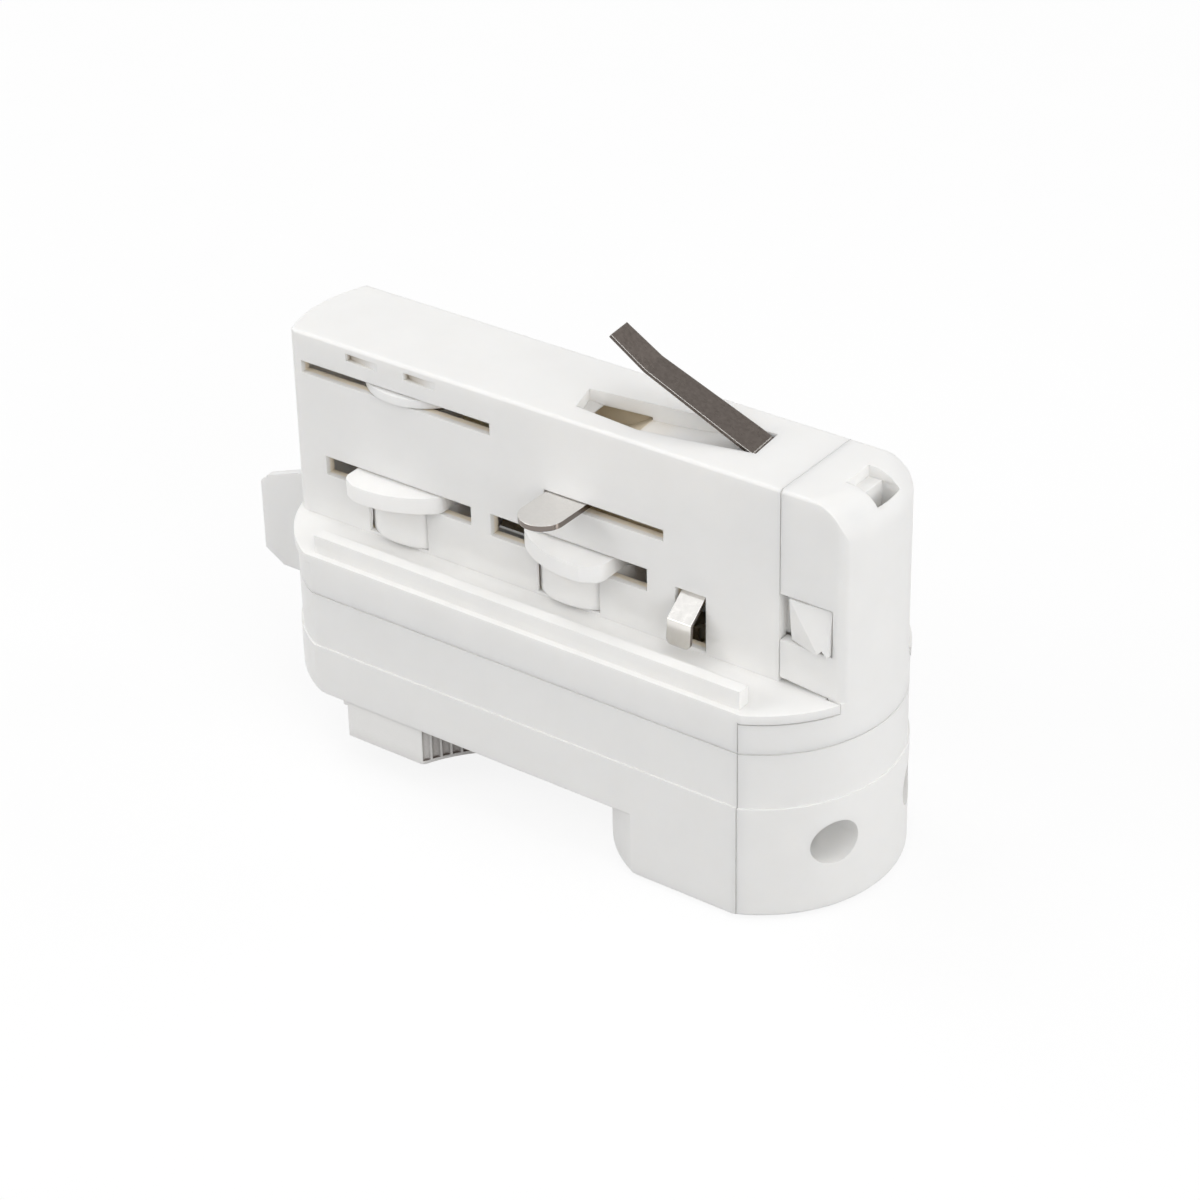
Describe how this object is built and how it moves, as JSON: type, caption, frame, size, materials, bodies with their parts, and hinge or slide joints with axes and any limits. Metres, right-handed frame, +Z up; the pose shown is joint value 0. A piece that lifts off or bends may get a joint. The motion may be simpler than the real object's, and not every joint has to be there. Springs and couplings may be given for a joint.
{
  "type": "track light adapter",
  "caption": "White track light adapter: a narrow neck with turning cams and spring contacts on a rounded base with locking and selector levers and a stem nut for a lamp.",
  "frame": {"origin": "middle of the body's length and width, on the ledge that lies against the track's lower face", "axes": "+X along the body towards the end caps, -Y the front with the polarity rib, +Z up into the track"},
  "size_m": [0.1079, 0.0362, 0.0711],
  "materials": {
    "white_plastic": "fine satin moulding",
    "nickel": "nickel plated spring strip",
    "brass": "plain stamped brass",
    "steel": "zinc plated",
    "grey_plastic": "matt"
  },
  "bodies": {
    "housing": {"upper_housing": "white_plastic", "lower_housing": "white_plastic", "upper_end_cap": "white_plastic", "lower_end_cap": "white_plastic", "neutral_bar": "brass", "phase_bar": "brass", "earth_leaf_pin": "steel", "earth_bar": "brass", "side_contact_pin": "steel", "terminal_block": "grey_plastic", "terminal_clamps": "brass", "terminal_screws": "steel", "stem_nut": "brass", "end_cap_screws": "steel", "housing_screws": "steel"},
    "locking": {"locking_rotor": "white_plastic", "locking_lever": "white_plastic", "lever_retaining_ring": "steel", "neutral_contact": "nickel"},
    "selector": {"selector_rotor": "white_plastic", "selector_lever": "white_plastic", "selector_lever_screw": "steel", "phase_contact": "nickel"},
    "leaf": {"earth_leaf": "nickel"},
    "side_contact": {"earth_side_contact": "nickel"}
  },
  "joints": [
    {"name": "locking_turn", "type": "hinge", "parent": "housing", "child": "locking", "pos_m": [-0.02715, 0, 0], "axis": [0, 0, 1], "range_deg": [-90, 0]},
    {"name": "selector_turn", "type": "hinge", "parent": "housing", "child": "selector", "pos_m": [0.0018, 0, 0], "axis": [0, 0, 1], "range_deg": [0, 90]},
    {"name": "leaf_press", "type": "hinge", "parent": "housing", "child": "leaf", "pos_m": [0.0266, 0.0008, 0.0268], "axis": [0.0958, -0.9954, 0], "range_deg": [0, 30], "stiffness_Nm_per_rad": 0.05},
    {"name": "side_press", "type": "hinge", "parent": "housing", "child": "side_contact", "pos_m": [0.02175, -0.00327, 0.01003], "axis": [1, 0, 0], "range_deg": [0, 10], "stiffness_Nm_per_rad": 0.05}
  ]
}
